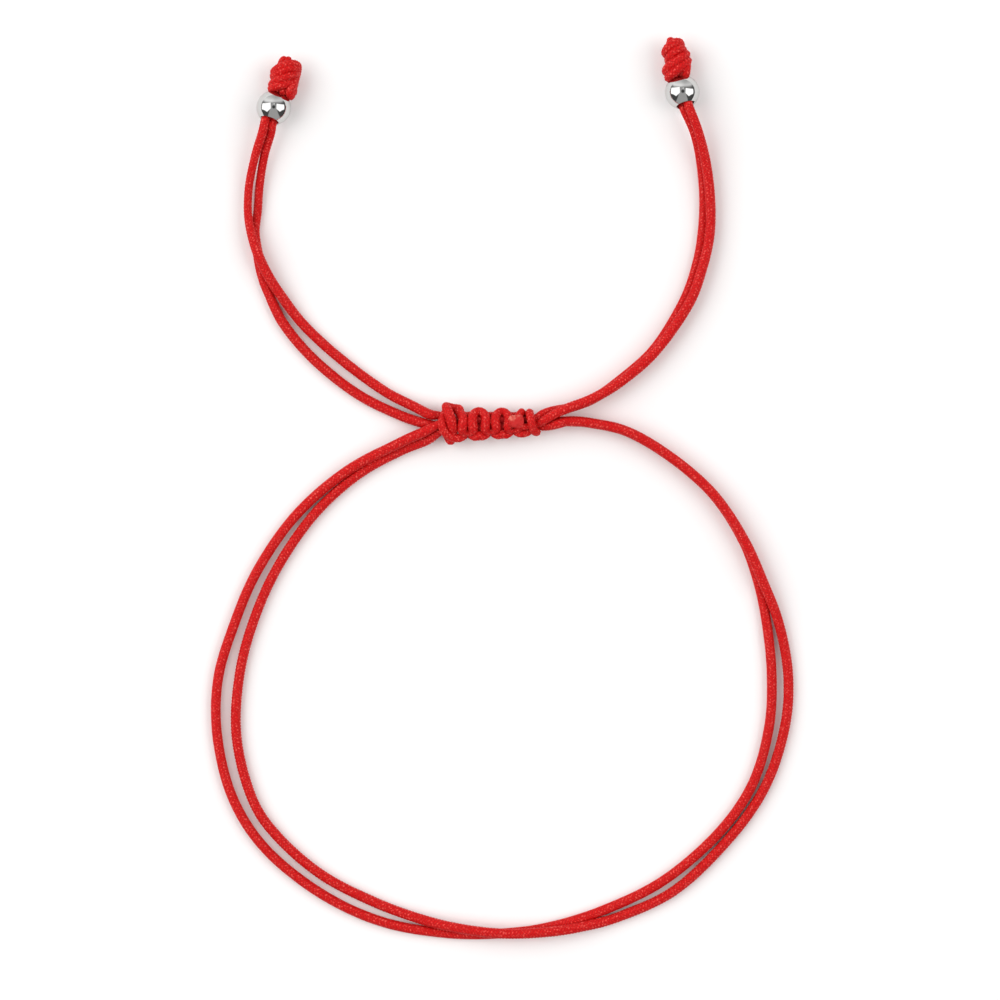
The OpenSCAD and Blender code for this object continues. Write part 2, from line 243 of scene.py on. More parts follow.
firstLoop = [
    [7.4, 29.4, 0.7], [10.0, 29.2, 0.56], [14.4, 28.1, 0.56], [19.5, 25.0, 0.56],
    [24.0, 21.0, 0.56], [27.3, 16.0, 0.56], [29.1, 11.2, 0.56], [30.2, 6.0, 0.56],
    [30.75, 0.0, 0.56], [30.4, -6.0, 0.56], [28.5, -12.4, 0.56], [24.6, -18.0, 0.56],
    [18.5, -23.3, 0.56], [12.0, -26.6, 0.56], [5.5, -28.7, 0.56], [-0.2, -29.5, 0.56],
    [-6.5, -29.5, 0.56], [-14.0, -28.2, 0.56], [-21.0, -25.0, 0.56], [-27.4, -19.9, 0.56],
    [-31.2, -14.1, 0.56], [-33.0, -7.2, 0.56], [-33.0, -0.5, 0.56], [-31.2, 5.8, 0.56],
    [-28.4, 12.3, 0.56], [-24.0, 18.6, 0.56], [-18.2, 23.65, 1.1], [-12.0, 26.95, 1.56],
    [-9.2, 28.2, 2.1], [-7.4, 29.1, 2.32, 0.48]]
secondLoop = [
    [7.4, 29.4, 1.88], [10.0, 29.2, 1.72], [14.4, 28.1, 1.72], [19.5, 25.0, 1.72],
    [24.0, 21.0, 1.72], [27.4, 16.0, 1.72], [29.6, 11.2, 1.62], [31.6, 6.0, 0.9],
    [32.65, 0.0, 0.56], [32.2, -6.0, 0.56], [30.0, -12.6, 0.56], [26.0, -18.4, 0.56],
    [19.8, -24.4, 0.56], [13.4, -27.5, 0.56], [8.6, -28.75, 1.25], [4.5, -29.3, 1.68],
    [-0.2, -29.45, 1.72], [-5.0, -28.9, 1.62], [-9.6, -27.85, 1.0], [-15.0, -25.9, 0.56],
    [-21.0, -22.8, 0.56], [-26.0, -18.5, 0.56], [-29.0, -14.1, 0.56], [-30.8, -7.2, 0.56],
    [-30.6, -0.5, 0.56], [-29.1, 5.8, 0.56], [-26.3, 12.3, 0.56], [-22.0, 18.6, 0.56],
    [-17.0, 23.2, 0.56], [-12.0, 26.0, 0.66], [-9.0, 27.2, 1.25], [-7.4, 28.15, 1.85, 0.46]]
# in the right tail the second cord lies on the first and leans out over it
firstRightTail = [
    [7.4, 30.95, 1.35], [10.2, 32.0, 0.9], [13.35, 34.2, 0.62], [17.2, 37.7, 0.56],
    [20.42, 42.8, 0.56], [22.04, 47.1, 0.56], [22.77, 51.0, 0.56], [22.97, 55.0, 0.56],
    [22.64, 59.0, 0.8], [21.87, 62.4, 1.6, 0.55]]
secondRightTail = [
    [7.4, 30.95, 2.5], [10.2, 32.05, 2.05], [13.5, 34.05, 1.8], [17.4, 37.5, 1.72],
    [21.13, 42.8, 1.6], [22.76, 47.1, 1.56], [23.6, 51.0, 1.42], [23.63, 55.0, 1.58],
    [23.14, 59.0, 1.86], [22.31, 62.4, 2.62, 0.55]]

# Beads: middle, the lean of the hole from the Y axis in degrees, clockwise from above, and the
# turns round the hole at which the first and the second cord go in and lie inside, in degrees
beads = {
    "bead_left": {"middle": (-26.5, 65.4, 2.0), "lean": 17.5, "turns": ((152, 180), (-28, 0))},
    "bead_right": {"middle": (20.4, 67.2, 2.0), "lean": -14.5, "turns": ((235, 180), (55, 0))},
}
holeTilt = 18   # slope of the holes in degrees, down towards the stopper knots
# distance along the hole and from its axis, and how much of the turn is made
holeStations = ((-2.07, 0.5, 0), (-1.62, 0.5, 0), (0, 0.48, 0.5), (1.2, 0.48, 1), (1.5, 0.48, 1))

# Bundle of the four strands in the sliding knot, which slopes and gets thinner to the right
bundle = {
    "middle": 29.18,   # y at x = 0
    "slope": 0.025,
    "scale": 0.91,     # size at x = 0
    "taper": 0.022,    # size that is lost in each mm
    "height": 1.76,
    "strandOffset": 0.39,
    "stations": (-6.2, -4.4, -1.4, 1.4, 3.0),
    # to its right the strands turn by a quarter as they spread: x and y of the bundle, degrees,
    # distance from its middle and radius
    "spread": ((3.75, 29.38, -16, 0.58, 0.44), (4.4, 29.54, -36, 0.75, 0.49),
               (5.3, 29.73, -60, 0.87, 0.54), (6.2, 29.92, -78, 0.96, 0.57)),
    "spreadHeight": 1.74,
}


def knotY(x):
    return bundle["middle"] + bundle["slope"] * x


def knotScale(x):
    return bundle["scale"] - bundle["taper"] * x


def roundAxis(bead, t, turn, away):
    # a point beside a bead's hole: t along it, and the angle and distance round it
    lean, tilt, turn = (math.radians(a) for a in (beads[bead]["lean"], holeTilt, turn))
    along = np.array([math.sin(lean) * math.cos(tilt), math.cos(lean) * math.cos(tilt),
                      -math.sin(tilt)])
    aside = np.array([math.cos(lean), -math.sin(lean), 0])
    up = np.cross(aside, along)
    return (np.array(beads[bead]["middle"]) + t * along
            + away * (math.cos(turn) * aside + math.sin(turn) * up))


def throughBead(bead, strand):
    turnIn, turnInside = beads[bead]["turns"][strand]
    rows = []
    for t, away, part in holeStations:
        turn = turnIn + (turnInside - turnIn) * part
        rows.append([*roundAxis(bead, t, turn, away), cordSettings["beadRadius"]])
    return rows


def throughKnot(ySide, zSide):
    rows = []
    for x in bundle["stations"]:
        k = knotScale(x)
        offset = bundle["strandOffset"] * k
        rows.append([x, knotY(x) + ySide * offset, bundle["height"] + zSide * offset,
                     cordSettings["heldRadius"] * k])
    corner = math.degrees(math.atan2(zSide, ySide))
    for x, y, turn, away, radius in bundle["spread"]:
        a = math.radians(corner + turn)
        rows.append([x, y + away * math.cos(a), bundle["spreadHeight"] + away * math.sin(a), radius])
    return rows


def free(points):
    # a fourth number is the radius where the cord is stretched or squeezed thinner
    return [[*p[:3], p[3] if len(p) > 3 else cordSettings["radius"]] for p in points]


firstRoute = (
    throughBead("bead_left", 0)[::-1] + free(firstLeftTail) + throughKnot(1, -1)
    + free(firstLoop) + throughKnot(1, 1) + free(firstRightTail) + throughBead("bead_right", 0))
secondRoute = (
    throughBead("bead_left", 1)[::-1] + free(secondLeftTail) + throughKnot(-1, -1)
    + free(secondLoop) + throughKnot(-1, 1) + free(secondRightTail) + throughBead("bead_right", 1))


# Curves and tubes: a smooth curve through the rows, then rings at even steps along it
def smoothPath(rows, steps=16):
    p = np.array(rows, float)
    p = np.vstack([2 * p[0] - p[1], p, 2 * p[-1] - p[-2]])
    out = []
    for i in range(1, len(p) - 2):
        a, b, c, d = p[i - 1:i + 3]
        for k in range(steps):
            t = k / steps
            out.append((2 * b + (c - a) * t + (2 * a - 5 * b + 4 * c - d) * t * t
                        + (3 * b - a - 3 * c + d) * t ** 3) / 2)
    out.append(p[-2])
    return np.array(out)


def evenPath(path, gap):
    steps = np.linalg.norm(np.diff(path[:, :3], axis=0), axis=1)
    s = np.concatenate([[0], np.cumsum(steps)])
    even = np.linspace(0, s[-1], int(s[-1] / gap) + 1)
    return np.stack([np.interp(even, s, column) for column in path.T], 1), even


def carriedNormals(tangents, steep=0.9):
    up = np.array([0.0, 0.0, 1.0])
    if abs(tangents[0] @ up) > steep:
        up = np.array([1.0, 0.0, 0.0])
    ups = []
    for t in tangents:
        up = up - (up @ t) * t
        up = up / np.linalg.norm(up)
        ups.append(up)
    return np.array(ups)


# The braid: strands of two directions, each over two and under two
braid = {
    "strands": 8,
    "repeat": 0.36,     # mm along the cord from one strand to the next
    "relief": 0.085,    # mm from the groove to the top of a strand
    "fullRelief": 0.3,  # mm, the radius from which the relief is whole
    "dive": 0.55,       # height of a strand where it goes under, as part of its crown's
    "rise": 0.45,
}
tubeSettings = {
    "unevenness": 0.012,   # part of the radius
    "unevenLength": 1.3,   # mm
    "bluntness": 0.02,     # square of the part of the radius that a rounded end starts with
    "floorGap": 0.01,      # mm
}


def braidHeight(turn, along):
    a = turn * braid["strands"] + along
    b = turn * braid["strands"] - along
    step = np.mod(np.floor(a) + np.floor(b), 4)
    aOnTop = step < 2
    across = np.where(aOnTop, a - np.floor(a), b - np.floor(b))
    under = np.where(aOnTop, b - np.floor(b), a - np.floor(a))
    run = (np.mod(step, 2) + under) / 2
    dome = np.sqrt(np.clip(1 - (2 * across - 1) ** 2, 0, 1))
    return dome * (braid["dive"] + braid["rise"] * np.sin(math.pi * run))


def slowNoise(s, seed, size):
    rng = np.random.default_rng(seed)
    knots = rng.uniform(-1, 1, int(s[-1] / size) + 3)
    return np.interp(s / size, np.arange(len(knots)), knots)


def tubeData(rows, sides, ringGap, roundStart=0.0, roundEnd=0.0, seed=1):
    path, s = evenPath(smoothPath(rows), ringGap)
    # the ends are rounded over the last stretch
    for stretch, fromEnd in ((roundStart, s), (roundEnd, s[-1] - s)):
        if stretch:
            missing = np.clip(1 - fromEnd / stretch, 0, 1)
            path[:, 3] *= np.sqrt(np.clip(1 - missing ** 2, tubeSettings["bluntness"], 1))
    path[:, 3] *= 1 + tubeSettings["unevenness"] * slowNoise(s, seed, tubeSettings["unevenLength"])
    path[:, 2] = np.maximum(path[:, 2], path[:, 3] + tubeSettings["floorGap"])
    centres = path[:, :3]
    tangents = np.gradient(centres, axis=0)
    tangents /= np.linalg.norm(tangents, axis=1)[:, None]
    ups = carriedNormals(tangents)
    asides = np.cross(tangents, ups)
    turn = np.arange(sides) / sides
    along = s / braid["repeat"]
    height = braidHeight(turn[None, :], along[:, None])
    radius = path[:, 3][:, None]
    relief = braid["relief"] * np.minimum(1, radius / braid["fullRelief"])
    angle = 2 * math.pi * turn
    out = (np.cos(angle)[None, :, None] * ups[:, None, :]
           + np.sin(angle)[None, :, None] * asides[:, None, :])
    points = centres[:, None, :] + (radius - relief * (1 - height))[:, :, None] * out
    return centres, points, turn, along


def makeTube(name, strands, held=None):
    # strands: what tubeData gives, one or several in one mesh
    # the last argument gives, from a point's place, how deep it lies in the sliding knot, 0 to 1; it
    # sets how much shade is painted into the cord's colour there
    verts, faces, uvs = [], [], []
    for centres, points, turn, along in strands:
        rings, sides = points.shape[:2]
        start = len(verts)
        verts.extend(points.reshape(-1, 3).tolist())
        verts.append(centres[0].tolist())
        verts.append(centres[-1].tolist())
        first, last = len(verts) - 2, len(verts) - 1
        lastRing = start + (rings - 1) * sides
        for i in range(rings - 1):
            for k in range(sides):
                a = start + i * sides + k
                b = start + i * sides + (k + 1) % sides
                faces.append((a, a + sides, b + sides, b))
                u0, u1 = k / sides, (k + 1) / sides
                uvs.extend([(u0, along[i]), (u0, along[i + 1]), (u1, along[i + 1]), (u1, along[i])])
        for k in range(sides):
            n = (k + 1) % sides
            faces.append((first, start + k, start + n))
            uvs.extend([(k / sides, along[0])] * 3)
            faces.append((last, lastRing + n, lastRing + k))
            uvs.extend([(k / sides, along[-1])] * 3)
    mesh = bpy.data.meshes.new(name)
    mesh.from_pydata((np.array(verts) * mm).tolist(), [], faces)
    layer = mesh.uv_layers.new(name="braid")
    layer.data.foreach_set("uv", np.array(uvs, dtype=np.float32).ravel())
    if held:
        depth = mesh.attributes.new("held", "FLOAT", "POINT")
        depth.data.foreach_set("value", held(np.array(verts)).astype(np.float32))
    mesh.polygons.foreach_set("use_smooth", [True] * len(mesh.polygons))
    mesh.update()
    piece = bpy.data.objects.new(name, mesh)
    bpy.context.collection.objects.link(piece)
    return piece


# Red braid: the strands are found from the UV map, turn and way along in strands
redCord = {
    "top": (0.68, 0.008, 0.008, 1),
    "deep": (0.48, 0.003, 0.004, 1),
    # painted shade: the colour that the grooves between the strands are darkened to
    "paintedGrooveShade": (0.22, 0.001, 0.002, 1),
    "topFrom": 0.75,          # height from which a strand has its top colour
    "toneAmount": 0.35,       # how much strands differ
    "toneApart": 57.3,        # parts the tones of the two directions
    "fibresAcross": 9.0,
    "fibresAlong": 0.9,
    "fibresApart": 3.7,       # parts the filaments of one strand and the next
    "fibreDetail": 2.0,
    "fibreAmount": 0.45,
    # painted highlight: the colour of the glints
    "glint": (0.95, 0.16, 0.13, 1),
    "glintAmount": 0.6,
    "glintScale": 4200,
    "glintDetail": 1.0,
    "glintFrom": (0.53, 0.66),
    "glintGloss": 0.2,
    "paintedShadeColour": (0.26, 0.002, 0.004, 1),   # painted shade, where the cords lie deep in the sliding knot
    "paintedShadeAmount": 0.65,
    "roughness": 0.55,
    "specular": 0.14,
    "bump": 0.5,
    "bumpHeight": 0.00006,    # m
    "bumpOfStrand": 0.8,
    "bumpOfFibre": 0.35,
}


def braidMaterial(name, settings):
    material, shader = newMaterial(name)
    add, calc, mix = nodeTools(material.node_tree)

    def pick(test, yes, no):
        # yes where test is 1, no where it is 0
        return calc("ADD", calc("MULTIPLY", yes, test),
                    calc("MULTIPLY", no, calc("SUBTRACT", 1.0, test)))

    def colours(value, *stops):
        node = add("ValToRGB", {"Fac": value})
        for element, (position, colour) in zip(node.color_ramp.elements, stops):
            element.position = position
            element.color = colour
        return node.outputs["Color"]

    uv = add("UVMap", uv_map="braid")
    split = add("SeparateXYZ", {0: uv.outputs["UV"]})
    turn = calc("MULTIPLY", split.outputs["X"], float(braid["strands"]))
    a = calc("ADD", turn, split.outputs["Y"])
    b = calc("SUBTRACT", turn, split.outputs["Y"])
    # a step is 0 to 3: in the first two the first direction's strand is on top
    step = calc("FLOORED_MODULO", calc("ADD", calc("FLOOR", a), calc("FLOOR", b)), 4.0)
    aOnTop = calc("LESS_THAN", step, 1.5)
    across = pick(aOnTop, calc("FRACT", a), calc("FRACT", b))
    under = pick(aOnTop, calc("FRACT", b), calc("FRACT", a))
    strand = pick(aOnTop, calc("FLOOR", a), calc("FLOOR", b))
    run = calc("MULTIPLY", calc("ADD", calc("FLOORED_MODULO", step, 2.0), under), 0.5)
    edge = calc("SUBTRACT", calc("MULTIPLY", across, 2.0), 1.0)
    dome = calc("SQRT", calc("MAXIMUM", calc("SUBTRACT", 1.0, calc("MULTIPLY", edge, edge)), 0.0))
    crown = calc("SINE", calc("MULTIPLY", run, math.pi))
    rise = calc("ADD", braid["dive"], calc("MULTIPLY", crown, braid["rise"]))
    height = calc("MULTIPLY", dome, rise)

    # filaments along each strand, strands that differ a little in tone, and glints: painted
    # highlights, lighter spots on the strands' crowns where filaments would lie flat to the light,
    # also glossier
    fibrePlace = add("CombineXYZ", {
        0: calc("MULTIPLY", across, settings["fibresAcross"]),
        1: calc("MULTIPLY", run, settings["fibresAlong"]),
        2: calc("ADD", calc("MULTIPLY", strand, settings["fibresApart"]), aOnTop),
    })
    fibre = add("TexNoise", {"Scale": 1.0, "Detail": settings["fibreDetail"],
                             "Vector": fibrePlace.outputs[0]})
    toneSeed = calc("ADD", strand, calc("MULTIPLY", aOnTop, settings["toneApart"]))
    tone = add("TexWhiteNoise", {"W": toneSeed}, noise_dimensions="1D")
    glintNoise = add("TexNoise", {"Scale": settings["glintScale"],
                                  "Detail": settings["glintDetail"],
                                  "Vector": add("TexCoord").outputs["Object"]})
    glintFrom, glintTo = settings["glintFrom"]
    glintSpots = colours(glintNoise.outputs["Fac"], (glintFrom, (0, 0, 0, 1)), (glintTo, (1, 1, 1, 1)))
    glint = calc("MULTIPLY", calc("MULTIPLY", glintSpots, crown), dome)

    toneMask = calc("MULTIPLY", tone.outputs["Value"], settings["toneAmount"])
    fibreMask = calc("MULTIPLY", calc("SUBTRACT", 1.0, fibre.outputs["Fac"]), settings["fibreAmount"])
    glintMask = calc("MULTIPLY", glint, settings["glintAmount"])
    # painted shade: the cords are coloured darker where they lie inside the sliding knot
    held = add("Attribute", attribute_name="held")
    heldMask = calc("MULTIPLY", held.outputs["Fac"], settings["paintedShadeAmount"])
    # painted shade: the red darkens from a strand's top down into the grooves
    colour = colours(height, (0.0, settings["paintedGrooveShade"]), (settings["topFrom"], settings["top"]))
    colour = mix(colour, settings["deep"], toneMask, "RGBA")
    colour = mix(colour, settings["deep"], fibreMask, "RGBA")
    # painted highlight: lighter red glints mixed into the colour on the strands' crowns
    colour = mix(colour, settings["glint"], glintMask, "RGBA")
    colour = mix(colour, settings["paintedShadeColour"], heldMask, "RGBA")

    heights = calc("ADD", calc("MULTIPLY", height, settings["bumpOfStrand"]),
                   calc("MULTIPLY", fibre.outputs["Fac"], settings["bumpOfFibre"]))
    bump = add("Bump", {"Strength": settings["bump"], "Distance": settings["bumpHeight"],
                        "Height": heights})
    gloss = calc("MULTIPLY", glint, settings["glintGloss"])
    fill(shader, {"Base Color": colour,
                  "Roughness": calc("SUBTRACT", settings["roughness"], gloss),
                  "Specular IOR Level": settings["specular"],
                  "Normal": bump.outputs["Normal"]})
    return material


cordMaterial = braidMaterial("red_braid", redCord)
print("cord material made")


# The two cords, and the box in the sliding knot inside which shade is painted onto them
heldBox = {
    "x": (-6.0, 3.0),
    "xEdge": 0.5,
    "halfWidth": 1.3,
    "widthEdge": 0.3,
}


# how much shade is painted on a point of a cord inside the sliding knot, 0 to 1
def heldInKnot(points):
    start, end = heldBox["x"]
    fromEnds = np.minimum(points[:, 0] - start, end - points[:, 0])
    fromMiddle = np.abs(points[:, 1] - knotY(points[:, 0]))
    inside = np.clip(fromEnds / heldBox["xEdge"], 0, 1)
    near = np.clip((heldBox["halfWidth"] - fromMiddle) / heldBox["widthEdge"], 0, 1)
    return inside * near


for i, (node, route) in enumerate((("first_cord", firstRoute), ("second_cord", secondRoute))):
    strand = tubeData(route, cordSettings["sides"], cordSettings["ringGap"],
                      seed=cordSettings["seed"] + i)
    cord = makeTube(node + "_braid", [strand], heldInKnot)
    cord.data.materials.append(cordMaterial)
    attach(cord, "root")
    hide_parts(node)
    centres = strand[0] * mm
    length = float(np.linalg.norm(np.diff(centres, axis=0), axis=1).sum())
    print(cord.name, "made,", round(length, 4), "m,", len(cord.data.polygons), "faces")


# Sliding knot: square knots of one tie cord round the four strands
slider = {
    "squareKnots": (-4.25, -1.6, 1.02),   # x of each
    "meltedEnd": (1.34, 29.43, 3.28),
    "sides": 24,
    "ringGap": 0.07,
    "roundStart": 0.3,
    "roundEnd": 0.6,
    "seed": 21,
}
# half of a square knot in each strand, from its arch to its tight turn in the knot's middle
# along, across, height and radius
frontHalf = [
    [-0.96, 1.34, 0.2, 0.56],
    [-0.66, 1.0, 0.6, 0.56],
    [-0.52, 0.55, 1.0, 0.57],
    [-0.55, 0.05, 1.12, 0.6],
    [-0.62, -0.4, 1.05, 0.6],
    [-0.6, -0.78, 0.85, 0.54],
    [-0.3, -0.98, 0.66, 0.45],
    [0.0, -0.96, 0.58, 0.42],
]
backHalf = [
    [-0.85, -1.52, 0.45, 0.49],
    [-0.42, -1.34, 0.2, 0.45],
    [-0.14, -1.1, -0.2, 0.38],
    [-0.2, -0.8, -0.7, 0.40],
    [-0.4, -0.3, -1.1, 0.46],
    [-0.45, 0.3, -1.12, 0.46],
    [-0.45, 0.85, -0.8, 0.44],
    [-0.3, 1.05, -0.2, 0.40],
    [0.0, 1.05, 0.15, 0.36],
]
# half way to the next square knot: across, height and radius
frontArch = [1.4, 0.05, 0.6]
backArch = [-1.38, 0.5, 0.63]
# the first turns of the tie cord, from the back strand's arch to the front strand's
tieStart = [
    [-5.2, -1.52, 0.45, 0.52],
    [-5.85, -1.46, 0.55, 0.52],
    [-6.5, -1.12, 0.75, 0.52],
    [-7.0, -0.5, 0.9, 0.52],
    [-7.12, 0.25, 0.85, 0.50],
    [-6.98, 0.95, 0.45, 0.46],
    [-6.85, 1.3, -0.2, 0.44],
    [-6.85, 1.0, -0.9, 0.44],
    [-6.85, 0.2, -1.2, 0.46],
    [-6.75, -0.7, -1.15, 0.46],
    [-6.5, -1.4, -0.8, 0.46],
    [-6.2, -1.78, -0.3, 0.48],
    [-5.95, -1.5, 0.0, 0.44],
    [-5.85, -0.95, 0.4, 0.46],
    [-5.95, -0.4, 1.0, 0.53],
    [-6.1, 0.3, 1.25, 0.57],
    [-6.3, 1.0, 1.2, 0.57],
    [-6.55, 1.62, 0.85, 0.54],
    [-6.72, 1.95, 0.3, 0.50],
    [-6.5, 1.98, -0.25, 0.47],
    [-5.85, 1.74, -0.35, 0.58],
    [-5.25, 1.66, -0.1, 0.58],
]
# the last turns: the front strand winds once more round all four and ends behind, the back
# strand comes out under it to the melted end
frontEnd = [
    [1.88, 1.44, 0.1, 0.50],
    [2.3, 1.15, -0.35, 0.45],
    [2.45, 0.6, -1.05, 0.44],
    [2.75, -0.2, -1.2, 0.46],
    [3.2, -0.9, -1.1, 0.48],
    [3.62, -1.26, -0.6, 0.53],
    [3.7, -1.34, -0.05, 0.6],
    [3.5, -1.26, 0.5, 0.61],
    [3.27, -0.85, 1.05, 0.6],
    [3.13, -0.3, 1.45, 0.6],
    [3.05, 0.2, 1.58, 0.6],
    [2.97, 0.7, 1.35, 0.61],
    [2.9, 1.12, 0.8, 0.61],
    [2.9, 1.36, 0.1, 0.56],
    [3.05, 1.15, -0.7, 0.42],
]
backEnd = [
    [2.05, -1.43, 0.42, 0.6],
    [2.7, -1.28, 0.4, 0.54],
    [3.1, -0.97, 0.5, 0.42],
    [3.05, -0.66, 0.75, 0.40],
    [2.72, -0.52, 1.0, 0.43],
    [2.35, -0.56, 1.15, 0.45],
    [1.95, -0.5, 1.28, 0.47],
    [1.6, -0.2, 1.38, 0.48],
    [1.4, 0.15, 1.4, 0.45],
]


def tiePoint(x, across, height, radius):
    k = knotScale(x)
    return [x, knotY(x) + across * k, bundle["height"] + height * k, radius * k]


def tieStrand(half, arch):
    rows = []
    knots = slider["squareKnots"]
    mirrored = [[-along, *row] for along, *row in half[-2::-1]]
    for i, x in enumerate(knots):
        rows += [tiePoint(x + along, *row) for along, *row in half + mirrored]
        if i < len(knots) - 1:
            rows.append(tiePoint((x + knots[i + 1]) / 2, *arch))
    return rows


tieRoute = ((tieStrand(backHalf, backArch) + [tiePoint(*row) for row in backEnd])[::-1]
            + [tiePoint(*row) for row in tieStart]
            + tieStrand(frontHalf, frontArch) + [tiePoint(*row) for row in frontEnd])
tie = tubeData(tieRoute, slider["sides"], slider["ringGap"], slider["roundStart"],
               slider["roundEnd"], slider["seed"])
knot = makeTube("sliding_knot_braid", [tie])
knot.data.materials.append(cordMaterial)
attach(knot, "root")
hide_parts("sliding_knot")
print("sliding knot made,", len(knot.data.polygons), "faces")


# Melted end of the tie cord: a flattened drop that the flame left lumpy, paler to its far left, partly
# the melted nylon's own colour and partly a painted highlight on the side the light comes from
melted = {
    "middle": slider["meltedEnd"],
    "size": (0.9, 0.78, 0.42),   # half of its width, depth and height, mm
    "subdivisions": 6,
    "lumpiness": 0.16,
    # how close the lumps lie, their part, and where their pattern starts
    "lumps": ((1.6, 1, (3.1, 0.4, 7.7)), (4.5, 0.5, (0, 0, 0)), (11, 0.22, (0, 0, 0))),
    "notchAt": (-0.12, 0.8),
    "notchDepth": 0.3,
    "notchWidth": 0.3,
    "red": (0.55, 0.014, 0.013, 1),
    # partly the melted nylon's own paler colour, partly painted highlight
    "paleAndHighlight": (0.74, 0.2, 0.14, 1),
    "paleTowards": (-0.5, 0.87, 0.0),
    "paleFrom": (0.00015, 0.0009),   # m from the middle
    "crust": 0.0013,                 # m that the pale edge is shifted by
    "crustScale": 2400,
    "crustDetail": 6,
    "roughness": 0.46,
    "specular": 0.28,
    "bump": 0.9,
    "bumpHeight": 0.00006,           # m
}


def meltedShape():
    bpy.ops.object.select_all(action="DESELECT")
    bpy.ops.mesh.primitive_ico_sphere_add(subdivisions=melted["subdivisions"], radius=1)
    drop = bpy.context.object
    drop.name = drop.data.name = "melted_end"
    for v in drop.data.vertices:
        lump = melted["lumpiness"] * sum(part * noise.noise(v.co * close + Vector(start))
                                         for close, part, start in melted["lumps"])
        away = math.hypot(v.co.x - melted["notchAt"][0], v.co.y - melted["notchAt"][1])
        notch = melted["notchDepth"] * math.exp(-(away / melted["notchWidth"]) ** 2)
        v.co *= 1 + lump - notch
        v.co = [(c * half + middle) * mm
                for c, half, middle in zip(v.co, melted["size"], melted["middle"])]
    bpy.ops.object.shade_smooth()
    return drop


def meltedMaterial():
    material, shader = newMaterial("melted_nylon")
    add, calc, mix = nodeTools(material.node_tree)
    place = add("TexCoord").outputs["Object"]
    farLeft = add("VectorMath", {0: place, 1: melted["paleTowards"]}, operation="DOT_PRODUCT")
    crust = add("TexNoise", {"Vector": place, "Scale": melted["crustScale"],
                             "Detail": melted["crustDetail"]}).outputs["Fac"]
    shift = add("MapRange", {"Value": crust, "To Min": -melted["crust"], "To Max": melted["crust"]})
    middle = sum(a * b * mm for a, b in zip(melted["paleTowards"], melted["middle"]))
    # paler towards the far left: partly the nylon's own colour, partly painted highlight
    paleAndHighlight = add("MapRange", {
        "Value": calc("ADD", farLeft.outputs["Value"], shift.outputs["Result"]),
        "From Min": middle + melted["paleFrom"][0],
        "From Max": middle + melted["paleFrom"][1],
    })
    bump = add("Bump", {"Strength": melted["bump"], "Distance": melted["bumpHeight"], "Height": crust})
    fill(shader, {"Base Color": mix(melted["red"], melted["paleAndHighlight"], paleAndHighlight.outputs["Result"], "RGBA"),
                  "Roughness": melted["roughness"],
                  "Specular IOR Level": melted["specular"],
                  "Normal": bump.outputs["Normal"]})
    return material


drop = meltedShape()
drop.data.materials.append(meltedMaterial())
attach(drop, "root")
print("melted end made")


# Stopper knots: the pair of strands goes behind, winds twice over the front and up to the cut ends
stopper = {
    "beads": {"end_knot_left": "bead_left", "end_knot_right": "bead_right"},
    "inBead": (1.4, 0.46, 0.5),   # along the hole, from its axis, and radius
    "turnsInBead": (0, 180),
    "startRows": 2,   # rows in which the pair lies as in the bead
    "endRows": 3,     # rows in which the cut ends lie side by side
    "pull": 1.5,      # how fast the pair turns to its wanted side
    "sides": 24,
    "ringGap": 0.07,
    "roundEnd": 0.3,
    "seed": 30,
}
